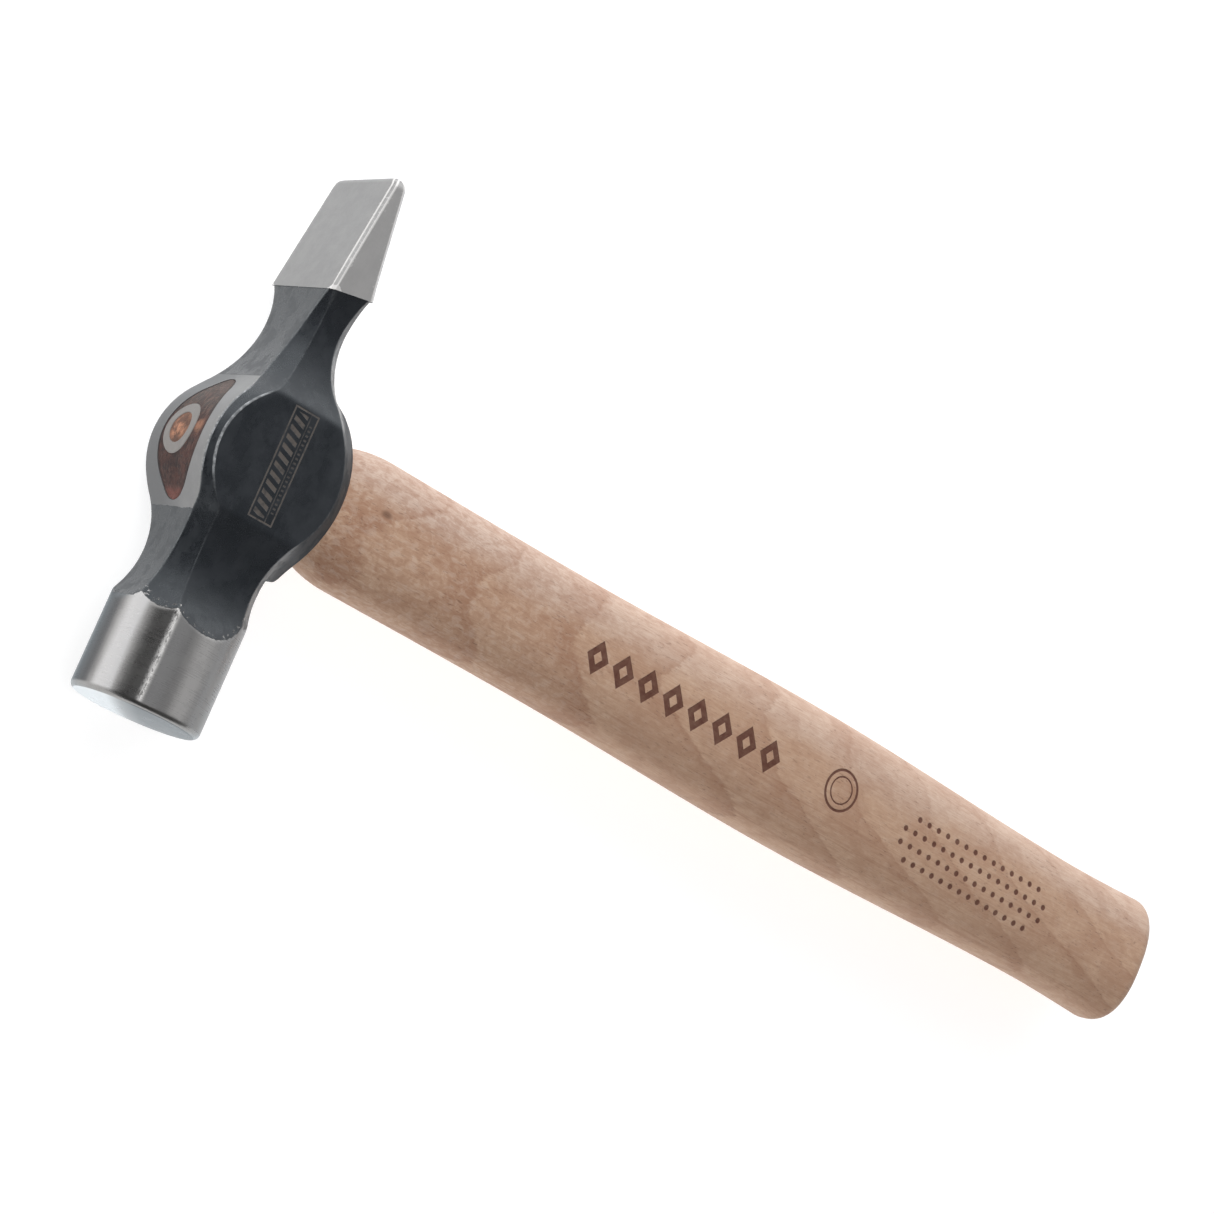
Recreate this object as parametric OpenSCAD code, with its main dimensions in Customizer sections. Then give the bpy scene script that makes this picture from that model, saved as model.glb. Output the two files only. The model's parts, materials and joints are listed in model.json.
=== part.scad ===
// Cross peen hammer: a forged octagonal head on a wooden handle, held by a
// wooden wedge and a steel ring wedge.
// Origin: the centre of the eye, where the handle's axis crosses the head's.
// +X runs down the handle to the butt, +Y along the head to the pein, and
// +Z is square to both, out of one cheek. Millimetres.

/* [Head] */
// From the head's centre line up to the crown, over the eye
crown_h = 15.05; // [14.7:0.05:15.4]
// Width across the two flat cheeks
cheek_w = 25.2; // [24.8:0.2:26.4]
// From the centre line to the crown facet, at the waist towards the poll
poll_waist = 9.45; // [9:0.05:9.8]
// From the centre line to the crown facet, at the waist towards the pein
pein_waist = 4.5; // [4.3:0.05:4.6]

/* [Poll] */
// Diameter of the round poll
poll_d = 26.1; // [25.8:0.1:27]
// From the eye's centre to the striking face
poll_reach = 52.5; // [48:0.5:58]
// Bevel around the striking face
face_bevel = 1.3; // [0.5:0.1:2]

/* [Pein] */
// From the eye's centre to the shoulder of the pein
pein_start = 35.6; // [35:0.1:37]
// From the eye's centre to the pein's edge
pein_reach = 60.8; // [56:0.2:64]
// Width of the pein at its shoulder
pein_w = 23.9; // [23.5:0.1:25]
// Thickness of the pein at its shoulder
pein_t = 9.6; // [9.6:0.1:10.4]
// Radius of the pein's edge
pein_edge_r = 1.6; // [1.2:0.1:2.5]

/* [Lug] */
// From the eye's centre to the end of the lug around the handle
lug_reach = 18; // [17:0.2:19]
// Radius of the lug's curved end
lug_end_r = 55; // [45:1:65]
// Radius of the lug's two corners
lug_corner_r = 2.5; // [2:0.25:3.5]

/* [Eye] */
// Length of the eye towards the poll
eye_poll_l = 13.1; // [12.6:0.1:13.4]
// Length of the eye towards the pein
eye_pein_l = 12.8; // [12.4:0.1:13.2]
// Width of the eye
eye_w = 15.2; // [14.8:0.1:15.8]

/* [Handle] */
// From the eye's centre to the butt
handle_reach = 255.5; // [240:0.5:300]
// Width of the handle behind the head
neck_w = 28.2; // [27:0.1:29]
// Width of the handle at its swell
swell_w = 31.2; // [30:0.1:33]
// Width of the handle at the waist before the butt
waist_w = 28.3; // [27:0.1:30]
// Width of the butt
butt_w = 29.8; // [29:0.1:32]
// Thickness of the handle at its swell
swell_t = 21; // [20:0.1:23]
// Radius around the butt's end face
butt_round = 3.5; // [2:0.25:5]

/* [Wedges] */
// Outside diameter of the ring wedge
ring_od = 10.8; // [10:0.1:11.2]
// Bore of the ring wedge
ring_id = 6.3; // [5.8:0.1:7]
// Depth of the ring wedge
ring_depth = 11; // [8:0.5:14]
// Length of the wooden wedge along the eye
wedge_l = 20; // [16:0.5:20.5]
// Thickness of the wooden wedge at the crown
wedge_t = 2.6; // [2:0.1:3.2]
// Depth of the wooden wedge
wedge_depth = 21; // [18:0.5:23]

/* [Hidden] */
$fn = 96;

poll_r = poll_d / 2;
cheek_h = cheek_w / 2;
reach = 20;          // how far each facet's blank runs out from the centre line
past_end = 3;        // how far a cutting shape runs past what it cuts

// A facet is one long curved face of the head. It is a profile in a plane
// through the head's axis: a crest over the eye, and a waist on each side.
// A waist is [height above the centre line, place along the head].
bulge_y = -0.5;
hollow_ease = 1.05;   // a hollow is a little slack, and meets the bulge in a soft crease
crown_bulge_r = 17.8;
crown_waists = [[poll_waist, -21.5], [pein_waist, 32]];
bevel_crest = 18.6;
bevel_bulge_r = 19.3;
bevel_waists = [[10.4, -24], [8.2, 26]];
lug_bevel_crest = lug_reach + 0.9;
lug_bevel_bulge_r = 24.5;
lug_bevel_waists = [[12, -24], [8.2, 27]];
cheek_waists = [[8.9, -23.5], [8.9, 25]];
cheek_waist_r = [18, 23];
under_waists = [[10.2, -22], [4.4, 33]];
under_waist_r = [27, 34];
poll_round_start = -27;   // the round poll's radius applies from here outwards
pein_lap = 0.4;           // how far the pein waist runs on inside the pein

lug_top_y = 17.2;
lug_low_y = -18.8;
lug_centre = [lug_reach - lug_end_r, 3];

pein_tip_w = pein_w - 1;
pein_corner_r = 2;
pein_arris = 0.5;    // how much the pein's long edges are ground off

eye_end_r = 4.2;     // radius of the eye's two round ends
eye_ease = 0.01;     // the eye's side arcs stop this short of its round ends

handle_start = 8;    // the handle's blank starts inside the head
shoulder_x = 28;     // from here the wood rounds in towards the lug
shoulder_r = 30;
swell_x = 152;
waist_x = 226;
neck_t = 19.5;
section_power = 2.4; // 2 is an ellipse, more is squarer
section_points = 40;
shoulder_sections = 7;
grip_sections = 32;
butt_sections = 6;

ring_y = 0.2;
ring_z = -1.6;
ring_taper = 0.5;    // how much thinner the ring's wall is at its tip
wedge_tip_t = 0.8;

// Radius of the hollow that would run tangent from the bulge into a waist
function tangent_r(bulge_a, bulge_r, waist) =
    let (a = waist[0] - bulge_a, y = waist[1] - bulge_y)
    (a * a + y * y - bulge_r * bulge_r) / (2 * (bulge_r - a));

// Point where that tangent hollow touches the bulge
function touch(bulge_a, bulge_r, waist) =
    let (
        r = tangent_r(bulge_a, bulge_r, waist),
        from = [bulge_a, bulge_y],
        to = [waist[0] + r, waist[1]]
    )
    from + (to - from) * bulge_r / (bulge_r + r);

// How far along the head, from its waist, a hollow reaches a height
function hollow_run(waist, r, height) =
    sqrt(r * r - pow(r - (height - waist[0]), 2));

// Hollow cut of a waist
module hollow(waist, r) {
    translate([waist[0] + r, waist[1]]) circle(r);
}

// Facet profile with a round crest
module crested(crest, bulge_r, waists) {
    bulge_a = crest - bulge_r;
    r = [for (w = waists) tangent_r(bulge_a, bulge_r, w) * hollow_ease];
    edge = waists[0][1] - hollow_run(waists[0], r[0], reach);
    top = pein_start + past_end;
    top_a = waists[1][0] + r[1] - sqrt(r[1] * r[1] - pow(top - waists[1][1], 2));
    difference() {
        polygon([
            [-reach, -poll_reach - past_end],
            [reach, -poll_reach - past_end],
            [reach, edge],
            touch(bulge_a, bulge_r, waists[0]),
            touch(bulge_a, bulge_r, waists[1]),
            [top_a, top],
            [-reach, top]
        ]);
        for (i = [0, 1]) hollow(waists[i], r[i]);
    }
    translate([bulge_a, bulge_y]) rotate(180) circle(bulge_r);
}

// Facet profile with a flat crest
module flat_topped(crest, waists, r) {
    edge = waists[0][1] - hollow_run(waists[0], r[0], reach);
    difference() {
        union() {
            translate([-reach, waists[0][1]])
                square([reach + crest, pein_start + past_end - waists[0][1]]);
            polygon([
                [-reach, -poll_reach - past_end],
                [reach, -poll_reach - past_end],
                [reach, edge],
                [waists[0][0], waists[0][1]],
                [-reach, waists[0][1]]
            ]);
        }
        for (i = [0, 1]) hollow(waists[i], r[i]);
    }
}

// Outline of the lug, with its two round corners
module lug_outline() {
    inner_r = lug_end_r - lug_corner_r;
    corner_y = [lug_low_y + lug_corner_r, lug_top_y - lug_corner_r];
    corner_x = [for (y = corner_y)
        lug_centre[0] + sqrt(inner_r * inner_r - pow(y - lug_centre[1], 2))];
    intersection() {
        translate(lug_centre) rotate(180) circle(lug_end_r);
        translate([0, corner_y[0]]) square([reach + past_end, corner_y[1] - corner_y[0]]);
    }
    for (i = [0, 1]) {
        translate([corner_x[i], corner_y[i]]) rotate(180) circle(lug_corner_r);
        translate([0, corner_y[i] - lug_corner_r]) square([corner_x[i], 2 * lug_corner_r]);
    }
}

// Sweep a facet profile straight across the head, facing the given way
module facet(turn) {
    rotate([0, turn, 0]) linear_extrude(3 * reach, center = true) children();
}

// The same facet facing both cheeks alike
module facet_pair(turn) {
    intersection() {
        facet(turn) children();
        facet(-turn) children();
    }
}

// Round bar that the poll is turned from, opening out past the waist
module poll_bar() {
    rotate([90, 0, 0]) rotate_extrude()
        polygon([
            [0, -pein_start - pein_lap],
            [2 * reach, -pein_start - pein_lap],
            [2 * reach, -poll_round_start],
            [poll_r, -poll_round_start],
            [poll_r, poll_reach - face_bevel],
            [poll_r - face_bevel, poll_reach],
            [0, poll_reach]
        ]);
}

// Poll, waists and eye bulge, as eight facets meeting
module head_body() {
    intersection() {
        poll_bar();
        facet(180) crested(crown_h, crown_bulge_r, crown_waists);
        facet_pair(135) crested(bevel_crest, bevel_bulge_r, bevel_waists);
        facet_pair(90) flat_topped(cheek_h, cheek_waists, cheek_waist_r);
        facet_pair(45) crested(lug_bevel_crest, lug_bevel_bulge_r, lug_bevel_waists);
        facet(0) {
            flat_topped(under_waists[0][0], under_waists, under_waist_r);
            lug_outline();
        }
    }
}

// Pein: a wedge across the head, with a round edge and ground arrises
module pein() {
    tip_y = pein_reach - pein_edge_r;
    half = pein_w / 2;
    tip_half = pein_tip_w / 2;
    corner = [tip_half - pein_corner_r, pein_reach - pein_corner_r];
    base_arris = (pein_t + pein_w) / 2 / sqrt(2) - pein_arris;
    tip_arris = (2 * pein_edge_r + pein_tip_w) / 2 / sqrt(2) - pein_arris;
    intersection() {
        facet(0) {
            polygon([
                [-pein_t / 2, pein_start], [pein_t / 2, pein_start],
                [pein_edge_r, tip_y], [-pein_edge_r, tip_y]
            ]);
            translate([0, tip_y]) circle(pein_edge_r);
        }
        facet(90) {
            polygon([
                [-half, pein_start], [half, pein_start],
                [tip_half, corner[1]], [corner[0], pein_reach],
                [-corner[0], pein_reach], [-tip_half, corner[1]]
            ]);
            for (side = [-1, 1])
                translate([side * corner[0], corner[1]]) circle(pein_corner_r);
        }
        facet_pair(45)
            polygon([
                [-base_arris, pein_start], [base_arris, pein_start],
                [tip_arris, pein_reach], [-tip_arris, pein_reach]
            ]);
    }
}

// Eye: a long oval of two side arcs and two round ends
module eye_outline() {
    half = eye_w / 2;
    run = (eye_poll_l + eye_pein_l) / 2 - eye_end_r;
    side_r = (run * run + half * half - eye_end_r * eye_end_r) / (2 * (half - eye_end_r));
    touch_y = run * side_r / (side_r - eye_end_r) - eye_ease;
    translate([(eye_pein_l - eye_poll_l) / 2, 0]) {
        intersection() {
            translate([0, side_r - half]) circle(side_r);
            translate([0, half - side_r]) circle(side_r);
            square([2 * touch_y, 2 * eye_w], center = true);
        }
        for (side = [-1, 1]) translate([side * run, 0]) circle(eye_end_r);
    }
}

// Prism of the eye, through the head from crown to lug
module eye_prism() {
    rotate([0, 90, 0]) rotate([0, 0, 90]) linear_extrude(3 * reach, center = true)
        eye_outline();
}

// Smooth curve through four heights, t from 0 to 1 between the middle two
function smooth(a, b, c, d, t) =
    b + t * (c - a + t * (2 * a - 5 * b + 4 * c - d + t * (3 * (b - c) + d - a))) / 2;

// Handle stations: [place, width, thickness]
stations = [
    [handle_start - 60, neck_w, neck_t],
    [handle_start, neck_w, neck_t],
    [(handle_start + swell_x) / 2, neck_w, neck_t + 0.3],
    [swell_x, swell_w, swell_t],
    [waist_x, waist_w, swell_t - 1.2],
    [handle_reach, butt_w, swell_t],
    [handle_reach + 60, butt_w + 3, swell_t + 2]
];

// Width (column 1) or thickness (column 2) of the handle at x
function handle_size(x, column) =
    let (
        i = max([for (k = [1 : len(stations) - 3]) if (stations[k][0] <= x) k]),
        t = (x - stations[i][0]) / (stations[i + 1][0] - stations[i][0])
    )
    smooth(stations[i - 1][column], stations[i][column],
        stations[i + 1][column], stations[i + 2][column], t);

// How far a round edge draws in, a distance past where its arc starts
function drawn_in(r, past) = r - sqrt(r * r - pow(max(0, past), 2));

// How far the handle's surface draws in, towards the lug and around the butt
function inset(x) =
    drawn_in(shoulder_r, shoulder_x - x)
    + drawn_in(butt_round, x - (handle_reach - butt_round));

// Places from one end of a stretch of the handle, short of its other end
function spaced(from, to, count) = [for (i = [0 : count - 1]) from + (to - from) * i / count];

// Places of the handle's cross sections, closer together at its two ends
section_x = concat(
    spaced(handle_start, shoulder_x, shoulder_sections),
    spaced(shoulder_x, handle_reach - butt_round, grip_sections),
    [for (i = [0 : butt_sections])
        handle_reach - butt_round + butt_round * sin(90 * i / butt_sections)]
);

// Signed power, for the squared oval
function spow(v, p) = sign(v) * pow(abs(v), p);

// Handle blank, as a stack of squared ovals
module handle_blank() {
    n = section_points;
    m = len(section_x);
    points = [
        for (x = section_x) for (k = [0 : n - 1])
            let (
                half_w = handle_size(x, 1) / 2 - inset(x),
                half_t = handle_size(x, 2) / 2 - inset(x),
                turn = 360 * k / n
            )
            [x, half_w * spow(cos(turn), 2 / section_power),
                half_t * spow(sin(turn), 2 / section_power)]
    ];
    sides = [
        for (i = [0 : m - 2]) for (k = [0 : n - 1])
            let (a = i * n + k, b = i * n + (k + 1) % n)
            [a, a + n, b + n, b]
    ];
    ends = [[for (k = [0 : n - 1]) k], [for (k = [n - 1 : -1 : 0]) (m - 1) * n + k]];
    polyhedron(points, concat(sides, ends), convexity = 4);
}

// Ring wedge before it is dressed flush with the crown
module ring_blank() {
    outer = ring_od / 2;
    inner = ring_id / 2;
    tip = ring_depth - crown_h;
    translate([0, ring_y, ring_z]) rotate([0, 90, 0]) rotate_extrude()
        polygon([
            [inner, -reach], [outer, -reach],
            [outer, -crown_h], [outer - ring_taper, tip],
            [inner + ring_taper, tip], [inner, -crown_h]
        ]);
}

// Wooden wedge before it is dressed flush with the crown
module wedge_blank() {
    tip = wedge_depth - crown_h;
    half = wedge_t / 2;
    translate([0, bulge_y + wedge_l / 2, 0]) rotate([90, 0, 0]) linear_extrude(wedge_l)
        polygon([
            [-reach, -half], [-crown_h, -half], [tip, -wedge_tip_t / 2],
            [tip, wedge_tip_t / 2], [-crown_h, half], [-reach, half]
        ]);
}

module hammer_head() {
    color("slategray") difference() {
        union() {
            head_body();
            pein();
        }
        eye_prism();
    }
}

module handle() {
    color("burlywood") difference() {
        union() {
            difference() {
                handle_blank();
                head_body();
            }
            intersection() {
                eye_prism();
                head_body();
            }
        }
        wedge_blank();
        ring_blank();
    }
}

module wooden_wedge() {
    color("rosybrown") difference() {
        intersection() {
            wedge_blank();
            head_body();
        }
        ring_blank();
    }
}

module ring_wedge() {
    color("lightgray") intersection() {
        ring_blank();
        head_body();
    }
}

hammer_head();
handle();
wooden_wedge();
ring_wedge();
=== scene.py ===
import json
import math

import bpy
import numpy as np
from mathutils import Matrix, Vector


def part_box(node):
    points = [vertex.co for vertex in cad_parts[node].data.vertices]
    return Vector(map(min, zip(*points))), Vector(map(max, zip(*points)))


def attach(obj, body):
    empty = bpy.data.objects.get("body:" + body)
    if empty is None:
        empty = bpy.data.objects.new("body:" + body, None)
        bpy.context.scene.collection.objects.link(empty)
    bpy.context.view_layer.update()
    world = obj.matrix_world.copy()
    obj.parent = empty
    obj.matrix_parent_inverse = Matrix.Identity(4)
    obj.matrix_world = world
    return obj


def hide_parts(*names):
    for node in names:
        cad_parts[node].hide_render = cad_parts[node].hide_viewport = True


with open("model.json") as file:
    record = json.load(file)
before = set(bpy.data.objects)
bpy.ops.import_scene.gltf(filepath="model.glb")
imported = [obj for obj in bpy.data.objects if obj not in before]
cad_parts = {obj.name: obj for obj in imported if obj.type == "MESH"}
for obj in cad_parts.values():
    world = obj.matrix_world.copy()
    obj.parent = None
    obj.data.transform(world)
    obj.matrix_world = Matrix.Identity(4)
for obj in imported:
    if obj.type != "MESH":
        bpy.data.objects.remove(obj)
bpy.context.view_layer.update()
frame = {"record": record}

# Shapes are worked out in millimetres, in the CAD frame: +X runs down the
# handle, +Y along the head to the pein, and +Z out of the upper cheek.
MM = 0.001
SQRT2 = math.sqrt(2)


def box_mm(node):
    """Lowest and highest corner of a CAD node, in millimetres."""
    return [np.array(corner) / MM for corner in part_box(node)]


def mount_mm(name):
    """Place of one of the record's mounts, in millimetres."""
    mount = next(m for m in frame["record"]["mounts"] if m["name"] == name)
    return np.array(mount["pos_m"]) / MM


HEAD_LO, HEAD_HI = box_mm("hammer_head")
HANDLE_LO, HANDLE_HI = box_mm("handle")
RING_LO, RING_HI = box_mm("ring_wedge")

# Head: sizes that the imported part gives
CROWN_H = -HEAD_LO[0]
LUG_REACH = HEAD_HI[0]
POLL_REACH = -HEAD_LO[1]
PEIN_REACH = HEAD_HI[1]
POLL_R = HEAD_HI[2]
CHEEK_H = mount_mm("cheek_upper")[2]

# Head: facet profiles. A waist is (height above the centre line, place along Y).
BULGE_Y = -0.5
CROWN = (CROWN_H, 17.8, ((9.45, -21.5), (4.5, 32.0)))
BEVEL = (18.6, 19.3, ((10.4, -24.0), (8.2, 26.0)))
LUG_BEVEL = (LUG_REACH + 0.9, 24.5, ((12.0, -24.0), (8.2, 27.0)))
CHEEK_WAISTS = ((8.9, -23.5), (8.9, 25.0))
CHEEK_RADII = (18.0, 23.0)
UNDER_WAISTS = ((10.2, -22.0), (4.4, 33.0))
UNDER_RADII = (27.0, 34.0)
FACET_REACH = 20.0       # no facet runs further out than this
LUG_TOP_Y = 17.2
LUG_LOW_Y = -18.8
LUG_END_R = 55.0
LUG_CORNER_R = 2.5
LUG_CENTRE = (LUG_REACH - LUG_END_R, 3.0)
ARRIS_R = 0.45           # how round the forged arrises are
CREASE_BLEND = 0.5       # how softly a flat cheek turns into its waist

# Poll and pein
POLL_ROUND_START = -27.0
POLL_BLEND = 0.25
FACE_BEVEL = 1.3
FACE_DOME = 0.25
RIDGE_TURN = math.radians(61)     # a raised grinding line along the poll
RIDGE_H = 0.07
RIDGE_W = 0.5
PEIN_START = 35.6
PEIN_W = 23.9
PEIN_TIP_W = 22.9
PEIN_T = 9.6
PEIN_EDGE_R = 1.6
PEIN_CORNER_R = 2.4
PEIN_ARRIS = 0.5
GROUND_ARRIS_R = 0.14
SHOULDER_LEAN = (0.20, -0.03, 0.5)   # the forged shoulder is askew: per mm of x, of z, and flat
SHOULDER_SOFT = 3.0      # how far along the head the lean fades out
PAINT_END = -33.2        # the lacquer stops here on the crown's hollow

# Eye
EYE_HALF_L = 12.95
EYE_MIDDLE = -0.15
EYE_HALF = 7.6
EYE_END_R = 4.2
EYE_ENDS = (EYE_MIDDLE - EYE_HALF_L, EYE_MIDDLE + EYE_HALF_L)
EYE_RIM = 0.9            # how far in from the tenon's edge the painted shade of its gap reaches
TENON_GAP = 0.16         # dark line around the tenon
TENON_SUNK = 0.08

# Handle stations: (place along X, width, thickness)
HANDLE_REACH = HANDLE_HI[0]
SWELL_W = 2 * HANDLE_HI[1]
SWELL_T = 2 * HANDLE_HI[2]
HANDLE_START = 8.0
SHOULDER_X = 28.0
SHOULDER_R = 30.0
NECK_W = 28.2
NECK_T = 19.5
STATIONS = (
    (HANDLE_START - 60, NECK_W, NECK_T),
    (HANDLE_START, NECK_W, NECK_T),
    (80.0, NECK_W, NECK_T + 0.3),
    (152.0, SWELL_W, SWELL_T),
    (226.0, 28.3, SWELL_T - 1.2),
    (HANDLE_REACH, 29.8, SWELL_T),
    (HANDLE_REACH + 60, 32.8, SWELL_T + 2),
)
BUTT_ROUND = 3.5
BUTT_DOME = 0.3
SECTION_POWER = 2.4

# Wedges
RING_Y = (RING_LO[1] + RING_HI[1]) / 2
RING_Z = (RING_LO[2] + RING_HI[2]) / 2
RING_R = (RING_HI[1] - RING_LO[1]) / 2
RING_BORE_R = 3.15
RING_DEPTH = 11.0
RING_TAPER = 0.5
RING_EDGE = 0.22
WEDGE_L = 20.0
WEDGE_T = 2.6
WEDGE_TIP_T = 0.8
WEDGE_DEPTH = 21.0

# The floor that the hammer lies on, under the poll
FLOOR_Z = -POLL_R


# ---------------------------------------------------------------- camera

CAMERA_AIM = (88.9, 11.5, 0.0)
CAMERA_DISTANCE = 751.1
CAMERA_AZIMUTH = math.radians(199.26)
CAMERA_ELEVATION = math.radians(54.38)
CAMERA_ROLL = math.radians(97.21)
LENS = 109.6
SENSOR = 36.0


def make_camera():
    """Camera at the photograph's viewing angle."""
    flat = math.cos(CAMERA_ELEVATION)
    back = Vector((
        flat * math.cos(CAMERA_AZIMUTH),
        flat * math.sin(CAMERA_AZIMUTH),
        math.sin(CAMERA_ELEVATION),
    ))
    level_right = Vector((0, 0, 1)).cross(back).normalized()
    level_up = back.cross(level_right)
    right = level_right * math.cos(CAMERA_ROLL) + level_up * math.sin(CAMERA_ROLL)
    up = back.cross(right)
    data = bpy.data.cameras.new("camera")
    data.lens = LENS
    data.sensor_width = SENSOR
    data.clip_end = 50
    camera = bpy.data.objects.new("camera", data)
    bpy.context.scene.collection.objects.link(camera)
    turn = Matrix((right, up, back)).transposed().to_4x4()
    place = Vector(CAMERA_AIM) * MM + back * CAMERA_DISTANCE * MM
    camera.matrix_world = Matrix.Translation(place) @ turn
    bpy.context.scene.camera = camera


# ---------------------------------------------------------------- profiles

def hollow(y, waist, r):
    """Height of a hollow of radius r, lowest at its waist."""
    run = np.minimum(np.abs(y - waist[1]), r)
    return waist[0] + r - np.sqrt(r * r - run * run)


def soft_min(a, b, k):
    """The lower of two heights, blended over k."""
    near = np.maximum(k - np.abs(a - b), 0)
    return np.minimum(a, b) - near * near / (4 * k)


def crested(y, crest, bulge_r, waists):
    """Height of a facet with a round crest, running tangent into its waists."""
    bulge_a = crest - bulge_r
    run = np.minimum(np.abs(y - BULGE_Y), bulge_r)
    height = bulge_a + np.sqrt(bulge_r * bulge_r - run * run)
    for waist in waists:
        a, along = waist[0] - bulge_a, waist[1] - BULGE_Y
        r = (a * a + along * along - bulge_r * bulge_r) / (2 * (bulge_r - a))
        touch = along * bulge_r / (bulge_r + r)
        past = (y - BULGE_Y) / touch > 1
        height = np.where(past, hollow(y, waist, r), height)
    return np.minimum(height, FACET_REACH)


def flat_topped(y, crest, waists, radii):
    """Height of a facet that is flat between its two hollows."""
    poll_side = hollow(y, waists[0], radii[0])
    pein_side = hollow(y, waists[1], radii[1])
    between = soft_min(crest, soft_min(poll_side, pein_side, CREASE_BLEND), CREASE_BLEND)
    return np.minimum(np.where(y < waists[0][1], poll_side, between), FACET_REACH)


def lug_end(y):
    """Place along X of the lug's outline, with its two round corners."""
    centre_x, centre_y = LUG_CENTRE
    inner_r = LUG_END_R - LUG_CORNER_R
    x = centre_x + np.sqrt(np.maximum(LUG_END_R ** 2 - (y - centre_y) ** 2, 0))
    for side, edge in ((1, LUG_TOP_Y), (-1, LUG_LOW_Y)):
        corner_y = edge - side * LUG_CORNER_R
        corner_x = centre_x + math.sqrt(inner_r ** 2 - (corner_y - centre_y) ** 2)
        touch = centre_y + (corner_y - centre_y) * LUG_END_R / inner_r
        run = np.minimum(np.abs(y - corner_y), LUG_CORNER_R)
        arc = corner_x + np.sqrt(LUG_CORNER_R ** 2 - run * run)
        x = np.where(side * (y - touch) > 0, arc, x)
    return x


def under(y):
    """Height of the facet under the head, with the lug."""
    bar = flat_topped(y, UNDER_WAISTS[0][0], UNDER_WAISTS, UNDER_RADII)
    on_lug = (y > LUG_LOW_Y) & (y < LUG_TOP_Y)
    return np.where(on_lug, np.maximum(bar, lug_end(y)), bar)


def crown(y):
    return crested(y, *CROWN)


def lug_bevel(y):
    return crested(y, *LUG_BEVEL)


def pein_heights(y):
    """Half thickness, arris and half width of the pein."""
    tip_y = PEIN_REACH - PEIN_EDGE_R
    along = (y - PEIN_START) / (tip_y - PEIN_START)
    run = np.clip(y - tip_y, 0, PEIN_EDGE_R)
    wedge = PEIN_T / 2 + (PEIN_EDGE_R - PEIN_T / 2) * along
    half_t = np.where(y < tip_y, wedge, np.sqrt(PEIN_EDGE_R ** 2 - run * run))
    corner_y = PEIN_REACH - PEIN_CORNER_R
    turn = np.clip(y - corner_y, 0, PEIN_CORNER_R)
    half_w = PEIN_W / 2 + (PEIN_TIP_W - PEIN_W) / 2 * along
    half_w = half_w - PEIN_CORNER_R + np.sqrt(PEIN_CORNER_R ** 2 - turn * turn)
    arris = (half_t + half_w) / SQRT2 - np.minimum(PEIN_ARRIS, 0.6 * half_t)
    return half_t, arris, half_w


def facet_heights(y):
    """Heights of the eight facets at each y, in order from the lug side round to +Z."""
    bevel, cheek = crested(y, *BEVEL), flat_topped(y, CHEEK_H, CHEEK_WAISTS, CHEEK_RADII)
    neck = np.stack([under(y), lug_bevel(y), cheek, bevel,
                     crown(y), bevel, cheek, lug_bevel(y)], axis=-1)
    half_t, arris, half_w = pein_heights(np.maximum(y, PEIN_START))
    pein = np.stack([half_t, arris, half_w, arris] * 2, axis=-1)
    return np.where((y > PEIN_START)[..., None], pein, neck)


FACET_TURN = np.radians(np.arange(8) * 45)
FACET_NORMAL = np.stack([np.cos(FACET_TURN), np.sin(FACET_TURN)], axis=-1)   # (x, z)
FACET_ALONG = np.stack([-np.sin(FACET_TURN), np.cos(FACET_TURN)], axis=-1)


def eye_half_width(y):
    """Half width of the eye: two side arcs and two round ends."""
    along = np.abs(y - EYE_MIDDLE)
    run = EYE_HALF_L - EYE_END_R
    side_r = (run ** 2 + EYE_HALF ** 2 - EYE_END_R ** 2) / (2 * (EYE_HALF - EYE_END_R))
    touch = run * side_r / (side_r - EYE_END_R)
    side = EYE_HALF - side_r + np.sqrt(side_r ** 2 - along ** 2)
    end = np.sqrt(np.maximum(EYE_END_R ** 2 - (along - run) ** 2, 0))
    return np.where(along > touch, end, side)


def eye_ring(points, shrink=0.0, scale=1.0):
    """(y, z) of points round the eye's outline, drawn in by shrink and scaled."""
    turn = np.arange(points) * 2 * math.pi / points
    out = EYE_HALF_L * np.cos(turn)
    z = eye_half_width(EYE_MIDDLE + out) * np.sign(np.sin(turn))
    inner = out * (EYE_HALF_L - shrink) / EYE_HALF_L
    z_in = np.sign(z) * np.maximum(np.abs(z) - shrink, 0)
    return EYE_MIDDLE + scale * inner, scale * z_in


# ---------------------------------------------------------------- mesh tools

def link_mesh(name, points_mm, faces):
    """New mesh object from points in millimetres."""
    mesh = bpy.data.meshes.new(name)
    mesh.from_pydata([tuple(p) for p in np.asarray(points_mm) * MM], [], faces)
    mesh.validate()
    piece = bpy.data.objects.new(name, mesh)
    bpy.context.scene.collection.objects.link(piece)
    return piece


def loft(name, rings, close_start=True, close_end=True):
    """Mesh through rings of equal size. A closed end is a fan to its middle point."""
    n = len(rings[0])
    points = [p for ring in rings for p in ring]
    faces = []
    for i in range(len(rings) - 1):
        for k in range(n):
            a, b = i * n + k, i * n + (k + 1) % n
            faces.append((a, b, b + n, a + n))
    if close_start:
        points.append(np.mean(rings[0], axis=0))
        faces += [((k + 1) % n, k, len(points) - 1) for k in range(n)]
    if close_end:
        points.append(np.mean(rings[-1], axis=0))
        last = (len(rings) - 1) * n
        faces += [(last + k, last + (k + 1) % n, len(points) - 1) for k in range(n)]
    piece = link_mesh(name, points, faces)
    face_outwards(piece)
    return piece


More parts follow.
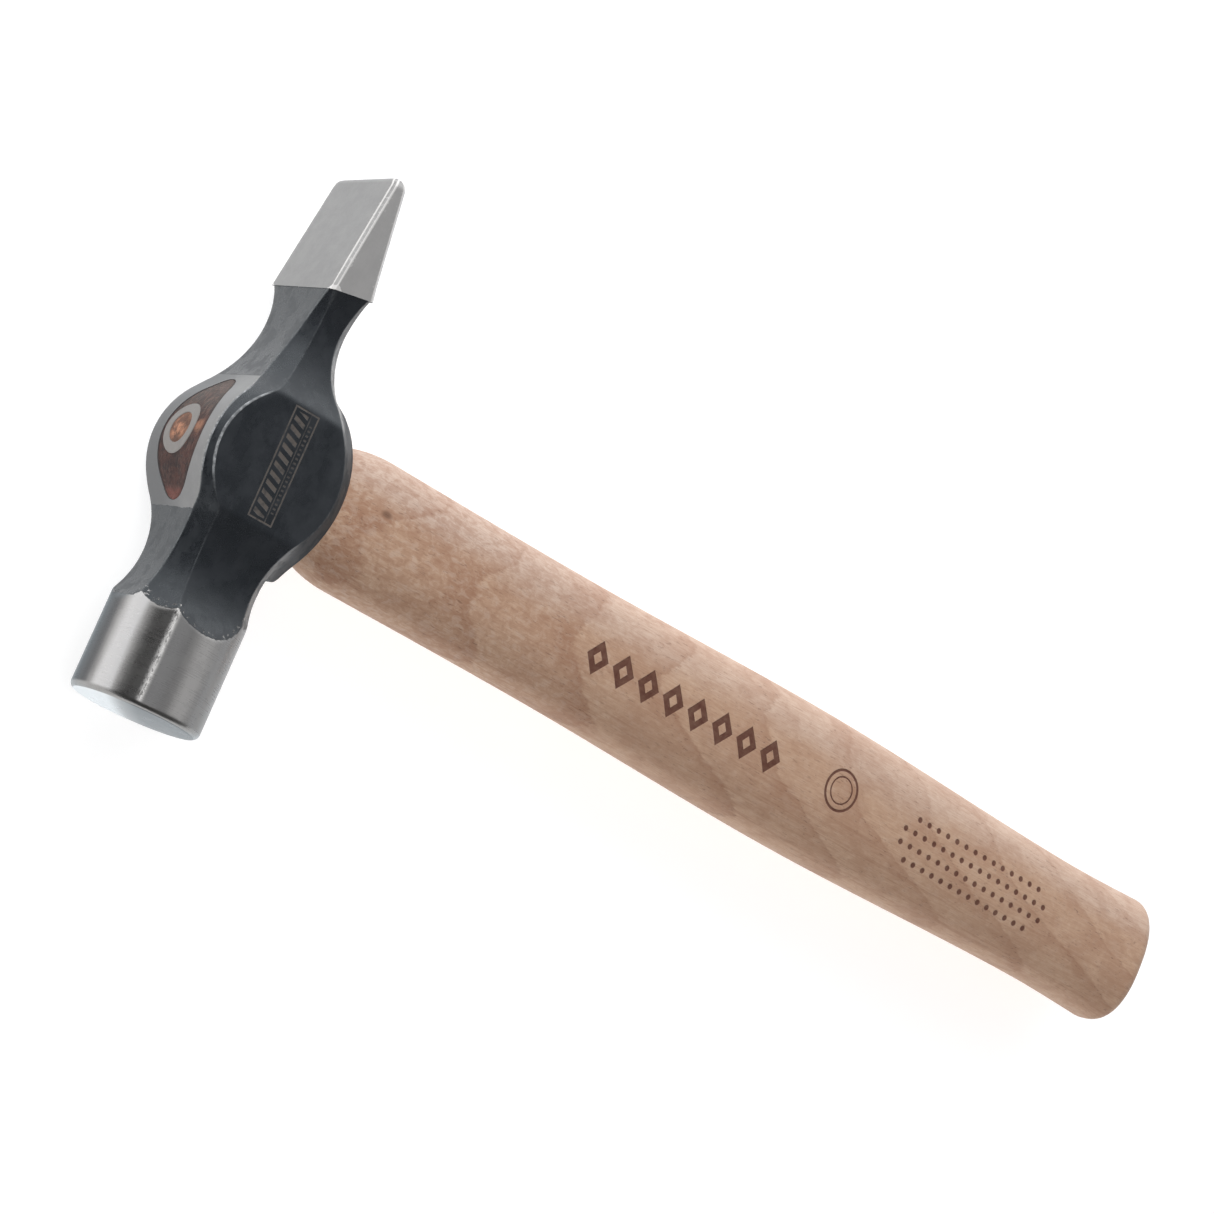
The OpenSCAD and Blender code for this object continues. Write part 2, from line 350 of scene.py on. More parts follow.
def face_outwards(piece):
    """Turns the mesh inside out if its volume comes out negative."""
    mesh = piece.data
    mesh.calc_loop_triangles()
    co = np.array([v.co for v in mesh.vertices])
    tri = np.array([t.vertices for t in mesh.loop_triangles])
    a, b, c = co[tri[:, 0]], co[tri[:, 1]], co[tri[:, 2]]
    if np.einsum("ij,ij->i", a, np.cross(b, c)).sum() < 0:
        mesh.flip_normals()


def cut(piece, *cutters):
    """Takes the cutters out of the piece and deletes them."""
    for cutter in cutters:
        step = piece.modifiers.new("cut", "BOOLEAN")
        step.operation = "DIFFERENCE"
        step.solver = "MANIFOLD"
        step.object = cutter
    graph = bpy.context.evaluated_depsgraph_get()
    mesh = bpy.data.meshes.new_from_object(piece.evaluated_get(graph))
    piece.modifiers.clear()
    piece.data = mesh
    for cutter in cutters:
        bpy.data.objects.remove(cutter)


def smooth(piece, sharp_angle=32):
    """Smooth shading, with edges past the angle kept sharp."""
    piece.data.shade_smooth()
    piece.data.set_sharp_from_angle(angle=math.radians(sharp_angle))


def vertex_mm(piece):
    co = np.zeros(len(piece.data.vertices) * 3)
    piece.data.vertices.foreach_get("co", co)
    return co.reshape(-1, 3) / MM


def point_attribute(piece, name, values):
    attribute = piece.data.attributes.new(name, "FLOAT", "POINT")
    attribute.data.foreach_set("value", np.asarray(values, np.float32))


# ---------------------------------------------------------------- head

FACET_STEPS = 12         # points across a facet
CORNER_STEPS = 3         # points round an arris
SECTION_STEP = 0.4       # distance between cross sections along the neck
PEIN_STEP = 0.5
STEP_HALF_GAP = 1e-3     # a sudden step has a cross section on either side
FACE_SHARES = np.linspace(0.06, 1, 10)   # rings on the face, as shares of its radius
CORNER_TURNS = np.radians(range(20, 86, 8))     # cross sections round the lug's corners
EDGE_TURNS = np.radians(range(10, 86, 8))       # and round the pein's edge
EYE_STEPS = 120
CUT_PAST = 5.0           # how far a cutter runs past what it cuts


def octagon_ring(y, clamp_r, heights, round_r):
    """Points of one cross section: eight flats, round corners, clamped to a circle."""
    cos45 = sin45 = 1 / SQRT2
    inner = heights - round_r
    after = (np.roll(inner, -1) - inner * cos45) / sin45
    before = (np.roll(inner, 1) - inner * cos45) / sin45
    ring = []
    for k in range(8):
        for s in np.linspace(-before[k], after[k], FACET_STEPS + 1):
            ring.append(FACET_NORMAL[k] * heights[k] + FACET_ALONG[k] * s)
        corner = FACET_NORMAL[k] * inner[k] + FACET_ALONG[k] * after[k]
        for j in range(1, CORNER_STEPS):
            turn = FACET_TURN[k] + math.radians(45) * j / CORNER_STEPS
            ring.append(corner + round_r * np.array([math.cos(turn), math.sin(turn)]))
    ring = np.array(ring)
    if y < POLL_ROUND_START:
        far = np.hypot(ring[:, 0], ring[:, 1])
        turn = np.arctan2(ring[:, 1], -ring[:, 0]) - RIDGE_TURN
        ridge = RIDGE_H * np.exp(-(turn * POLL_R / RIDGE_W) ** 2)
        ring *= (soft_min(far, clamp_r + ridge, POLL_BLEND) / far)[:, None]
    x, z = ring.T
    fade = math.exp(-((y - PEIN_START) / SHOULDER_SOFT) ** 2)
    lean = SHOULDER_LEAN[0] * x + SHOULDER_LEAN[1] * z + SHOULDER_LEAN[2]
    return np.column_stack([x, y + lean * fade, z])


def head_stations():
    """(y, poll radius) of every cross section, from the striking face to the pein's edge."""
    stations = []
    edge_r = POLL_R - FACE_BEVEL
    for share in FACE_SHARES:
        stations.append((-POLL_REACH + FACE_DOME * share ** 2, edge_r * share))
    arc_y = -POLL_REACH + FACE_DOME + FACE_BEVEL
    for turn in np.radians(np.arange(10, 91, 10)):
        stations.append((arc_y - FACE_BEVEL * math.cos(turn), edge_r + FACE_BEVEL * math.sin(turn)))
    steps = [LUG_LOW_Y, LUG_TOP_Y, PEIN_START]
    places = list(np.arange(arc_y + 0.5, PEIN_START - 0.1, SECTION_STEP))
    for edge, side in ((LUG_TOP_Y, 1), (LUG_LOW_Y, -1)):
        corner_y = edge - side * LUG_CORNER_R
        places += [corner_y + side * LUG_CORNER_R * math.sin(t) for t in CORNER_TURNS]
    places = [y for y in places if min(abs(y - s) for s in steps) > 0.01]
    for step in steps:
        places += [step - STEP_HALF_GAP, step + STEP_HALF_GAP]
    tip_y = PEIN_REACH - PEIN_EDGE_R
    places += list(np.arange(PEIN_START + PEIN_STEP, tip_y - 1.0, PEIN_STEP))
    places += list(np.linspace(tip_y - 0.9, tip_y, 5))
    places += [tip_y + PEIN_EDGE_R * math.sin(t) for t in EDGE_TURNS]
    return stations + [(y, POLL_R) for y in sorted(places)]


def make_head():
    """Forged head: facets lofted along Y, with the eye cut through it."""
    stations = head_stations()
    heights = facet_heights(np.array([y for y, _ in stations]))
    rings = []
    for (y, r), height in zip(stations, heights):
        tight = 0.45 * height.min()
        round_r = min(GROUND_ARRIS_R if y > PEIN_START else ARRIS_R, tight)
        rings.append(octagon_ring(y, r, height, round_r))
    head = loft("forged_head", rings)
    y, z = eye_ring(EYE_STEPS)
    past = FACET_REACH + CUT_PAST
    cutter = loft("eye_cutter", [np.column_stack([np.full(len(y), x), y, z])
                                 for x in (-past, past)])
    cut(head, cutter)
    smooth(head)
    x, y, z = vertex_mm(head).T
    short = facet_heights(y) - (x[:, None] * FACET_NORMAL[:, 0] + z[:, None] * FACET_NORMAL[:, 1])
    point_attribute(head, "arris", np.sort(short, axis=1)[:, 1])
    point_attribute(head, "crown", np.minimum(short[:, 3], short[:, 5]) - short[:, 4])
    return head


# ---------------------------------------------------------------- handle

RING_POINTS = 128
GRIP_START = SHOULDER_X + 2
GRIP_STEP = 1.2          # distance between cross sections along the grip


def station_size(x, column):
    """Width or thickness of the handle at x, on a smooth curve through its stations."""
    places = np.array([s[0] for s in STATIONS])
    sizes = np.array([s[column] for s in STATIONS])
    i = np.clip(np.searchsorted(places, x, side="right") - 1, 1, len(places) - 3)
    t = (x - places[i]) / (places[i + 1] - places[i])
    a, b, c, d = sizes[i - 1], sizes[i], sizes[i + 1], sizes[i + 2]
    return b + t * (c - a + t * (2 * a - 5 * b + 4 * c - d + t * (3 * (b - c) + d - a))) / 2


def drawn_in(r, past):
    """How far a round edge draws in, a distance past where its arc starts."""
    return r - np.sqrt(np.maximum(r * r - np.maximum(0, past) ** 2, 0))


def handle_point(x, turn):
    """(y, z) of the handle's surface, a squared oval."""
    inset = drawn_in(SHOULDER_R, SHOULDER_X - x)
    inset = inset + drawn_in(BUTT_ROUND, x - HANDLE_REACH + BUTT_ROUND)
    power = 2 / SECTION_POWER
    across, up = np.cos(turn), np.sin(turn)
    y = (station_size(x, 1) / 2 - inset) * np.sign(across) * np.abs(across) ** power
    z = (station_size(x, 2) / 2 - inset) * np.sign(up) * np.abs(up) ** power
    return y, z


def lug_surface(y, z):
    """Place along X of the head's end, which the handle's shoulder meets."""
    return np.minimum(under(y), SQRT2 * lug_bevel(y) - np.abs(z))


def column(x, y, z):
    return np.column_stack([np.broadcast_to(x, np.shape(y)), y, z])


def tenon_rings():
    """End grain in the eye, then the tenon's sides down to the lug."""
    rings = []
    for share in np.linspace(0.08, 1, 12):
        y, z = eye_ring(RING_POINTS, TENON_GAP, share)
        rings.append(column(TENON_SUNK - crown(y), y, z))
    y, z = eye_ring(RING_POINTS, TENON_GAP)
    top, low = TENON_SUNK - crown(y), lug_surface(y, z)
    for share in (0.02, 0.2, 0.5, 0.8, 1):
        rings.append(column(top + (low - top) * share, y, z))
    return rings


def shoulder_start(turn):
    """Where along X the handle's surface meets the lug."""
    start = np.full(RING_POINTS, LUG_REACH)
    for _ in range(40):
        start = (start + lug_surface(*handle_point(start, turn))) / 2
    return start


def shoulder_rings(start, turn):
    """From the tenon out over the lug, and round into the handle."""
    rings = []
    tenon_y, tenon_z = eye_ring(RING_POINTS, TENON_GAP)
    rim_y, rim_z = handle_point(start, turn)
    for share in (0.25, 0.5, 0.75, 0.95):
        y, z = tenon_y + (rim_y - tenon_y) * share, tenon_z + (rim_z - tenon_z) * share
        rings.append(column(lug_surface(y, z), y, z))
    for share in np.linspace(0, 1, 14):
        x = start + (GRIP_START - start) * share
        rings.append(column(x, *handle_point(x, turn)))
    return rings


def butt_rings(turn):
    """The butt's round edge and its slightly domed end."""
    rings = []
    arc_x = HANDLE_REACH - BUTT_ROUND - BUTT_DOME
    for lean in np.radians(np.arange(0, 86, 8.5)):
        run = BUTT_ROUND * math.sin(lean)
        y, z = handle_point(HANDLE_REACH - BUTT_ROUND + run, turn)
        rings.append(column(arc_x + run, y, z))
    edge = rings[-1]
    for share in (0.92, 0.8, 0.65, 0.5, 0.35, 0.2, 0.08):
        y, z = edge[:, 1] * share, edge[:, 2] * share
        rings.append(column(edge[0, 0] + BUTT_DOME * (1 - share ** 2), y, z))
    return rings


def handle_rings():
    turn = np.arange(RING_POINTS) * 2 * math.pi / RING_POINTS
    grip_end = HANDLE_REACH - BUTT_ROUND - BUTT_DOME
    grip = [column(x, *handle_point(x, turn))
            for x in np.arange(GRIP_START + GRIP_STEP, grip_end, GRIP_STEP)]
    shoulder = shoulder_rings(shoulder_start(turn), turn)
    return tenon_rings() + shoulder + grip + butt_rings(turn)


def make_handle():
    """Wooden handle with its shoulder on the lug and its tenon in the eye."""
    handle = loft("wooden_handle", handle_rings())
    cut(handle, wedge_blank("wedge_cutter", PAST_CROWN), ring_blank("ring_cutter", PAST_CROWN))
    smooth(handle, 40)
    _, y, z = vertex_mm(handle).T
    inside = eye_half_width(np.clip(y, *EYE_ENDS)) - np.abs(z)
    # share of painted shade along the eye's wall
    point_attribute(handle, "rim", np.clip(1 - inside / EYE_RIM, 0, 1))
    return handle


# ---------------------------------------------------------------- wedges

PAST_CROWN = 3.0         # how far a wedge's cutter stands out of the crown
RING_STEPS = 96          # points round the ring wedge
WEDGE_STEPS = 60         # cross sections along the wooden wedge
WEDGE_TOP_BAND = 0.4     # depth to which the wedge keeps its full thickness
CUT_TOP_BAND = 0.06


def ring_blank(name, past_crown=0.0):
    """Ring wedge, its top following the crown."""
    outer, bore = RING_R, RING_BORE_R
    profile = [
        (outer - RING_TAPER, RING_DEPTH), (outer - RING_TAPER / 2, RING_DEPTH / 2),
        (outer, 2 * RING_EDGE), (outer, RING_EDGE), (outer - 0.3 * RING_EDGE, 0.3 * RING_EDGE),
        (outer - RING_EDGE, 0), (outer - 2 * RING_EDGE, 0),
        (bore + 2 * RING_EDGE, 0), (bore + RING_EDGE, 0),
        (bore + 0.3 * RING_EDGE, 0.3 * RING_EDGE), (bore, RING_EDGE), (bore, 2 * RING_EDGE),
        (bore + RING_TAPER / 2, RING_DEPTH / 2), (bore + RING_TAPER, RING_DEPTH),
    ]
    if past_crown:
        profile = [(outer - RING_TAPER, RING_DEPTH), (outer, RING_EDGE), (outer, -past_crown),
                   (bore, -past_crown), (bore, RING_EDGE), (bore + RING_TAPER, RING_DEPTH)]
    turn = np.arange(RING_STEPS) * 2 * math.pi / RING_STEPS
    rings = []
    for r, depth in profile + profile[:1]:
        y, z = RING_Y + r * np.cos(turn), RING_Z + r * np.sin(turn)
        rings.append(column(depth - crown(y), y, z))
    points = [p for ring in rings[:-1] for p in ring]
    n, m = len(turn), len(profile)
    faces = [(i * n + k, i * n + (k + 1) % n, (i + 1) % m * n + (k + 1) % n, (i + 1) % m * n + k)
             for i in range(m) for k in range(n)]
    piece = link_mesh(name, points, faces)
    face_outwards(piece)
    return piece


def wedge_blank(name, past_crown=0.0):
    """Wooden wedge along the eye, its top following the crown."""
    half, tip = WEDGE_T / 2, WEDGE_TIP_T / 2
    depths = [-past_crown, CUT_TOP_BAND] if past_crown else [TENON_SUNK, WEDGE_TOP_BAND]
    sides = [(depth, half) for depth in depths]
    sides += [(WEDGE_DEPTH / 2, (half + tip) / 2), (WEDGE_DEPTH, tip)]
    outline = [(depth, z) for depth, z in sides] + [(depth, -z) for depth, z in reversed(sides)]
    rings = []
    deep = WEDGE_DEPTH - CROWN_H
    for y in np.linspace(BULGE_Y - WEDGE_L / 2, BULGE_Y + WEDGE_L / 2, WEDGE_STEPS):
        top = -crown(np.array(y))
        ring = []
        for depth, z in outline:
            x = top + depth if depth < 1 else top + (deep - top) * depth / WEDGE_DEPTH
            ring.append((float(x), y, z))
        rings.append(np.array(ring))
    return loft(name, rings)


def make_ring_wedge():
    ring = ring_blank("steel_ring_wedge")
    smooth(ring)
    return ring


def make_wooden_wedge():
    wedge = wedge_blank("hardwood_wedge")
    cut(wedge, ring_blank("ring_cutter", PAST_CROWN))
    smooth(wedge)
    return wedge


# ---------------------------------------------------------------- shader tools

class Val:
    """A number in a shader, so that formulas read as formulas. Lengths are in mm."""

    def __init__(self, graph, socket):
        self.graph, self.socket = graph, socket

    def _do(self, operation, *others):
        return self.graph.math(operation, self, *others)

    def __add__(self, other):
        return self._do("ADD", other)

    def __sub__(self, other):
        return self._do("SUBTRACT", other)

    def __rsub__(self, other):
        return self.graph.math("SUBTRACT", other, self)

    def __mul__(self, other):
        return self._do("MULTIPLY", other)

    def __truediv__(self, other):
        return self._do("DIVIDE", other)

    def abs(self):
        return self._do("ABSOLUTE")

    def sqrt(self):
        return self._do("SQRT")

    def fract(self):
        return self._do("FRACT")

    def power(self, exponent):
        return self._do("POWER", exponent)

    def least(self, other):
        return self._do("MINIMUM", other)

    def most(self, other):
        return self._do("MAXIMUM", other)

    def above(self, edge, soft):
        """0 below the edge, 1 above it, over a soft width."""
        return self.graph.ramp(self, edge - soft / 2, edge + soft / 2)

    def below(self, edge, soft):
        return self.graph.ramp(self, edge + soft / 2, edge - soft / 2)


def hypotenuse(u, v):
    """Distance from the origin of two shader numbers."""
    return (u * u + v * v).sqrt()


class Graph:
    """A node tree and the few kinds of node that it is made of."""

    def __init__(self, tree, coordinates="Object", scale=1 / MM):
        """Places are Object coordinates in millimetres, unless told otherwise."""
        self.tree = tree
        where = tree.nodes.new("ShaderNodeTexCoord")
        scaled = tree.nodes.new("ShaderNodeVectorMath")
        scaled.operation = "SCALE"
        scaled.inputs["Scale"].default_value = scale
        tree.links.new(where.outputs[coordinates], scaled.inputs[0])
        self.place = scaled.outputs[0]

    def feed(self, value, socket):
        """Sets or links a socket."""
        if isinstance(value, Val):
            self.tree.links.new(value.socket, socket)
        elif isinstance(value, bpy.types.NodeSocket):
            self.tree.links.new(value, socket)
        else:
            socket.default_value = value

    def math(self, operation, *values):
        node = self.tree.nodes.new("ShaderNodeMath")
        node.operation = operation
        for value, socket in zip(values, node.inputs):
            self.feed(value, socket)
        return Val(self, node.outputs[0])

    def axes(self):
        node = self.tree.nodes.new("ShaderNodeSeparateXYZ")
        self.feed(self.place, node.inputs[0])
        return [Val(self, out) for out in node.outputs]

    def ramp(self, value, start, end):
        """Smooth step from 0 at start to 1 at end."""
        node = self.tree.nodes.new("ShaderNodeMapRange")
        node.interpolation_type = "SMOOTHSTEP"
        low, high = min(start, end), max(start, end)
        self.feed(value, node.inputs["Value"])
        node.inputs["From Min"].default_value = low
        node.inputs["From Max"].default_value = high
        node.inputs["To Min"].default_value = 0 if start < end else 1
        node.inputs["To Max"].default_value = 1 if start < end else 0
        return Val(self, node.outputs["Result"])

    def noise(self, size, stretch=(1, 1, 1), detail=3, roughness=0.5, shift=0.0, curl=0.0):
        """Noise from 0 to 1 with features of about size mm, stretched along the axes."""
        mapped = self.tree.nodes.new("ShaderNodeMapping")
        mapped.inputs["Location"].default_value = (shift, shift * 0.7, shift * 1.3)
        mapped.inputs["Scale"].default_value = [1 / (size * s) for s in stretch]
        self.feed(self.place, mapped.inputs["Vector"])
        node = self.tree.nodes.new("ShaderNodeTexNoise")
        node.inputs["Scale"].default_value = 1
        node.inputs["Detail"].default_value = detail
        node.inputs["Roughness"].default_value = roughness
        node.inputs["Distortion"].default_value = curl
        self.tree.links.new(mapped.outputs[0], node.inputs["Vector"])
        return Val(self, node.outputs["Fac"])

    def cells(self, size, stretch=(1, 1, 1), shift=0.0):
        """Distance to the nearest of scattered points, in cells of about size mm."""
        mapped = self.tree.nodes.new("ShaderNodeMapping")
        mapped.inputs["Location"].default_value = (shift, shift, shift)
        mapped.inputs["Scale"].default_value = [1 / (size * s) for s in stretch]
        self.feed(self.place, mapped.inputs["Vector"])
        node = self.tree.nodes.new("ShaderNodeTexVoronoi")
        node.inputs["Scale"].default_value = 1
        self.tree.links.new(mapped.outputs[0], node.inputs["Vector"])
        return Val(self, node.outputs["Distance"])

    def attribute(self, name):
        node = self.tree.nodes.new("ShaderNodeAttribute")
        node.attribute_name = name
        return Val(self, node.outputs["Fac"])

    def mix(self, share, a, b):
        """Colour from a to b."""
        node = self.tree.nodes.new("ShaderNodeMix")
        node.data_type = "RGBA"
        self.feed(share, node.inputs["Factor"])
        for value, socket in ((a, node.inputs[6]), (b, node.inputs[7])):
            self.feed((*value, 1) if isinstance(value, tuple) else value, socket)
        return node.outputs[2]

    def blend(self, share, a, b):
        """Number from a to b."""
        return share * (b - a) + a

    def bump(self, height, depth_mm, previous=None):
        """Bump of so many millimetres where the height goes from 0 to 1."""
        node = self.tree.nodes.new("ShaderNodeBump")
        node.inputs["Distance"].default_value = depth_mm * MM
        self.feed(height, node.inputs["Height"])
        if previous is not None:
            self.tree.links.new(previous, node.inputs["Normal"])
        return node.outputs["Normal"]


class Surface(Graph):
    """A material with one shader."""

    def __init__(self, name):
        self.material = bpy.data.materials.new(name)
        self.material.use_nodes = True
        tree = self.material.node_tree
        tree.nodes.clear()
        output = tree.nodes.new("ShaderNodeOutputMaterial")
        self.shader = tree.nodes.new("ShaderNodeBsdfPrincipled")
        tree.links.new(self.shader.outputs["BSDF"], output.inputs["Surface"])
        super().__init__(tree)

    def set(self, **inputs):
        """Sets or links the shader's inputs; _ stands for a space."""
        for name, value in inputs.items():
            if isinstance(value, tuple) and len(value) == 3:
                value = (*value, 1)
            self.feed(value, self.shader.inputs[name.replace("_", " ")])


# ---------------------------------------------------------------- head materials

PAINT = (0.011, 0.013, 0.016)
PAINT_THIN = (0.019, 0.021, 0.025)
# lacquer rubbed thin on the arrises, also used as painted highlight along the crown's arrises
PAINT_WORN_AND_HIGHLIGHT = (0.12, 0.125, 0.13)
STEEL = (0.43, 0.42, 0.41)
STEEL_DARK = (0.27, 0.262, 0.258)
# steel tone for painted reflections and highlights
STEEL_PAINTED_BRIGHT = (0.66, 0.65, 0.65)
GLINT = (0.93, 0.91, 0.89)
# steel tone for painted dark reflections and painted shade
STEEL_PAINTED_DARK = (0.115, 0.113, 0.115)
FACE_PAINTED_HIGHLIGHT = (0.88, 0.88, 0.88)
FACE_PAINTED_SHADE = (0.09, 0.088, 0.09)
STEEL_SHADE = (0.05, 0.05, 0.052)
# painted highlight line on the cheek flat's rim
RIM_HIGHLIGHT = (0.34, 0.35, 0.36)
ETCH = (0.085, 0.072, 0.063)
BARE_CROWN = (-14.2, 15.2)   # y where the ground patch on the crown starts and ends
ETCH_CENTRE = (0.9, 0.4)     # x and y of the etched panel's middle
ETCH_SIZE = (5.4, 22.6)
BAR_PITCH = 1.9
BAR_ROW = (-0.75, 1.35)      # middle and half width of the row of bars, along x
BAR_LEAN = 0.35
DOT_PITCH = 0.95
DOT_ROW = (1.85, 0.3)
RULE_X = 1.1                 # line between the two rows
PEWTER_DARK = (0.175, 0.165, 0.158)
PEWTER = (0.35, 0.33, 0.317)


def etched_frame(g, x, y, z):
    """Generic etched panel on the upper cheek: a thin frame round slanted bars."""
    u, v = x - ETCH_CENTRE[0], y - ETCH_CENTRE[1]
    half_u, half_v = ETCH_SIZE[0] / 2, ETCH_SIZE[1] / 2
    out = (u.abs() - half_u).most(v.abs() - half_v)
    frame_line = out.abs().below(0.16, 0.14)
    row_line = (u - RULE_X).abs().below(0.1, 0.12) * out.below(-0.1, 0.1)
    lean = v + u * BAR_LEAN
    bars = ((lean / BAR_PITCH).fract() - 0.5).abs().below(0.24, 0.08)
    bar_span = (u - BAR_ROW[0]).abs().below(BAR_ROW[1], 0.14)
    bar_row = bars * bar_span * v.abs().below(half_v - 0.7, 0.14)
    dots = ((v / DOT_PITCH).fract() - 0.5).abs().below(0.2, 0.12)
    dot_span = (u - DOT_ROW[0]).abs().below(DOT_ROW[1], 0.14)
    dot_row = dots * dot_span * v.abs().below(half_v - 2.2, 0.14)
    marks = frame_line.most(row_line * 0.6).most(bar_row).most(dot_row * 0.6)
    patchy = g.noise(1.3, detail=4, shift=4).above(0.40, 0.3)
    return marks * z.above(CHEEK_H - 0.05, 0.02) * (patchy * 0.65 + 0.35)


def ground_mask(g, x, y, z):
    """Where the head is ground bright: poll, pein and the crown round the eye."""
    far = hypotenuse(x, z)
    ragged = (g.noise(0.8, detail=4, shift=2) - 0.5) * 0.12
    poll = (far + ragged).above(POLL_R - 0.13, 0.08) * y.below(POLL_ROUND_START, 0.1)
    poll_end = (y + ragged * 4).below(PAINT_END, 0.1) * g.attribute("crown").above(0.05, 0.1)
    chipped = g.noise(0.7, detail=4, roughness=0.65, shift=15).above(0.60, 0.06)
    rubbed = chipped * (far + ragged).above(POLL_R - 0.75, 0.4) * y.below(POLL_ROUND_START, 2)
    face = y.below(-POLL_REACH + FACE_BEVEL, 0.1)
    lean = x * SHOULDER_LEAN[0] + z * SHOULDER_LEAN[1] + SHOULDER_LEAN[2]
    pein = (y - lean).above(PEIN_START + 0.02, 0.04)
    on_crown = (g.attribute("crown") + ragged).above(0.05, 0.12)
    wander = y + (g.noise(2.5, detail=3, shift=7) - 0.5) * 0.8
    crown_patch = on_crown * wander.above(BARE_CROWN[0], 0.15) * wander.below(BARE_CROWN[1], 0.15)
    ground = poll.most(poll_end).most(face).most(pein)
    return ground.most(rubbed).most(crown_patch * x.below(-9, 0.1))


def lacquer(g, x, y, arris):
    """Colour of the lacquer, rubbed thin on its arrises and etched on the cheek, with painted
    highlights along the crown's arrises and on the cheek flat's crown-side rim.
    """
    thin = g.noise(6, detail=4, roughness=0.6).above(0.5, 0.5)
    chips = g.noise(1.1, detail=5, roughness=0.65, shift=3).above(0.52, 0.14)
    edge = arris.below(0.13, 0.16) * (chips * 0.65 + 0.35)
    # worn lacquer and painted highlight along the crown's arrises
    crown_edge_highlight = g.attribute("crown").abs().below(0.12, 0.2) * x.below(-4, 1) * (chips * 0.6 + 0.4)
    # painted highlight along the cheek flat's rim, on its crown side only
    cheek_rim_highlight = arris.below(0.20, 0.12) * y.above(-8, 6) * y.below(11, 3) * x.below(-5, 2)
    colour = g.mix(thin, PAINT, PAINT_THIN)
    colour = g.mix((edge * 0.25).most(crown_edge_highlight * 0.7), colour, PAINT_WORN_AND_HIGHLIGHT)
    return g.mix(cheek_rim_highlight * (chips * 0.5 + 0.35), colour, RIM_HIGHLIGHT)


def poll_turn(g, x, z):
    """Degrees round the poll, from the crown side up towards the upper cheek."""
    return g.math("ARCTAN2", z, x * -1) * math.degrees(1)


def painted_poll_reflections(g, x, z, steel):
    """Long painted reflections round the poll, light and dark strips at so many degrees of turn,
    with painted shade on the crown side and a painted glint along the ground ridge.
    """
    turn = poll_turn(g, x, z)
    sway = turn + (g.noise(3, stretch=(1, 8, 1), detail=3, shift=16) - 0.5) * 7
    # painted reflections: a bright band, a faint one past the ridge, and dark bands
    bright = sway.above(17, 11) * sway.below(37, 7)
    past_ridge = sway.above(90, 16) * sway.below(114, 16)
    dark_reflection_band = sway.below(11, 9).most(turn.above(65, 3) * sway.below(87, 16) * 0.90)
    steel = g.mix(bright * 0.78 + past_ridge * 0.15, steel, STEEL_PAINTED_BRIGHT)
    steel = g.mix(dark_reflection_band.most(sway.above(107, 14) * 0.80) * 0.8, steel, STEEL_PAINTED_DARK)
    # painted shade on the poll's crown side
    steel = g.mix(sway.below(6, 10) * 0.45 + sway.below(-8, 12) * 0.5, steel, STEEL_SHADE)
    # painted glint along the ground ridge
    ridge = (turn - math.degrees(RIDGE_TURN) + (sway - turn) * 0.25).abs().below(2.2, 2.8)
    grit = g.noise(0.45, stretch=(1, 2.5, 1), detail=4, roughness=0.7, shift=17).above(0.47, 0.12)
    return g.mix(ridge * grit, steel, GLINT)


def ground_steel(g, x, y, z, arris, turned, grit, patches):
    """Colour of the ground steel on the poll, the crown and the pein, with painted reflections,
    highlights, glints and shade.
    """
    lined = g.noise(0.22, stretch=(1, 50, 1), detail=4, roughness=0.7, shift=6)
    specks = g.noise(0.55, detail=4, roughness=0.7, shift=11).above(0.60, 0.1)
    steel = g.mix(turned * 0.3 + patches.above(0.5, 0.5) * 0.4 + grit * 0.3, STEEL_DARK, STEEL)
    steel = g.mix(lined.above(0.6, 0.3) * 0.25, steel, STEEL_DARK)
    # painted glints: bright specks near the arrises
    steel = g.mix(specks * arris.below(0.5, 0.5) * 0.5, steel, GLINT)
    # painted reflections round the poll
    steel = g.mix(on_poll(y), steel, painted_poll_reflections(g, x, z, steel))
    # painted reflection on the striking face: light on one side, dark on the other
    struck = y.below(-POLL_REACH + FACE_DOME + 0.1, 0.1)
    across_face = x * 0.8 + z * 0.6
    steel = g.mix(struck * across_face.below(-3, 4), steel, FACE_PAINTED_HIGHLIGHT)
    steel = g.mix(struck * across_face.above(0, 5), steel, FACE_PAINTED_SHADE)
    # painted shade: the crown's ground patch is dimmed, and darker towards -Z
    on_crown = y.above(-20, 1) * y.below(20, 1)
    steel = g.mix(on_crown * (z.below(1, 12) * 0.38 + 0.44), steel, STEEL_PAINTED_DARK)
    # painted light on the pein: its crown face darkened, its side faces brightened
    on_pein, pein_side = y.above(PEIN_START - 3, 1), z.abs().above(PEIN_W / 2 - 0.9, 0.4)
    steel = g.mix(on_pein * (1 - pein_side) * 0.28, steel, STEEL_PAINTED_DARK)
    steel = g.mix(on_pein * pein_side * 0.35, steel, STEEL_PAINTED_BRIGHT)
    # painted glint along the pein's arrises
    return g.mix(on_pein * arris.below(0.16, 0.12) * (grit * 0.4 + 0.5), steel, GLINT)


def on_poll(y):
    return y.below(POLL_ROUND_START, 1) * y.above(-POLL_REACH + FACE_BEVEL, 0.6)


